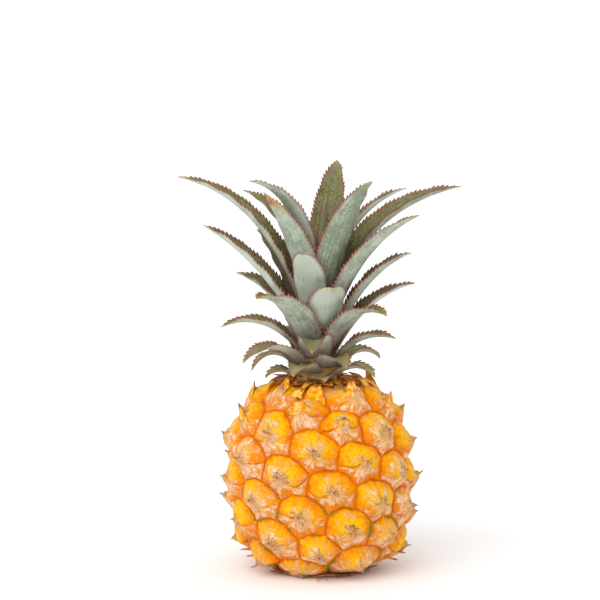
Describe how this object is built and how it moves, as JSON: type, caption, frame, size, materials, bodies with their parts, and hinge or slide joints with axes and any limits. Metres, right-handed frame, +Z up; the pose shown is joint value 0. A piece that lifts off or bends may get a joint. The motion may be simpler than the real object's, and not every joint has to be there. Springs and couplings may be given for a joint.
{
  "type": "queen victoria pineapple",
  "caption": "Small ripe pineapple standing upright: a squarish round orange fruit of domed, spine-tipped eyes under a crown of channelled, arching, saw-edged silver-green leaves.",
  "frame": {"origin": "in the flat spot that the fruit rests on, straight below the middle of the fruit's waist", "axes": "+Z up, from the fruit to the crown; -Y towards the picture's camera; +X to its right"},
  "size_m": [0.1429, 0.1004, 0.2031],
  "materials": {
    "skin": "satin",
    "stem": "matte",
    "leaf": "satin"
  },
  "bodies": {
    "root": {"fruit": "skin", "crown_stem": "stem", "leaf_01": "leaf", "leaf_02": "leaf", "leaf_03": "leaf", "leaf_04": "leaf", "leaf_05": "leaf", "leaf_06": "leaf", "leaf_07": "leaf", "leaf_08": "leaf", "leaf_09": "leaf", "leaf_10": "leaf", "leaf_11": "leaf", "leaf_12": "leaf", "leaf_13": "leaf", "leaf_14": "leaf", "leaf_15": "leaf", "leaf_16": "leaf", "leaf_17": "leaf", "leaf_18": "leaf", "leaf_19": "leaf", "leaf_20": "leaf", "leaf_21": "leaf", "leaf_22": "leaf", "leaf_23": "leaf", "leaf_24": "leaf", "leaf_25": "leaf", "leaf_26": "leaf", "leaf_27": "leaf", "leaf_28": "leaf", "leaf_29": "leaf", "leaf_30": "leaf", "leaf_31": "leaf", "leaf_32": "leaf", "leaf_33": "leaf", "leaf_34": "leaf", "leaf_35": "leaf", "leaf_36": "leaf", "leaf_37": "leaf", "leaf_38": "leaf", "leaf_39": "leaf", "leaf_40": "leaf"}
  },
  "joints": []
}
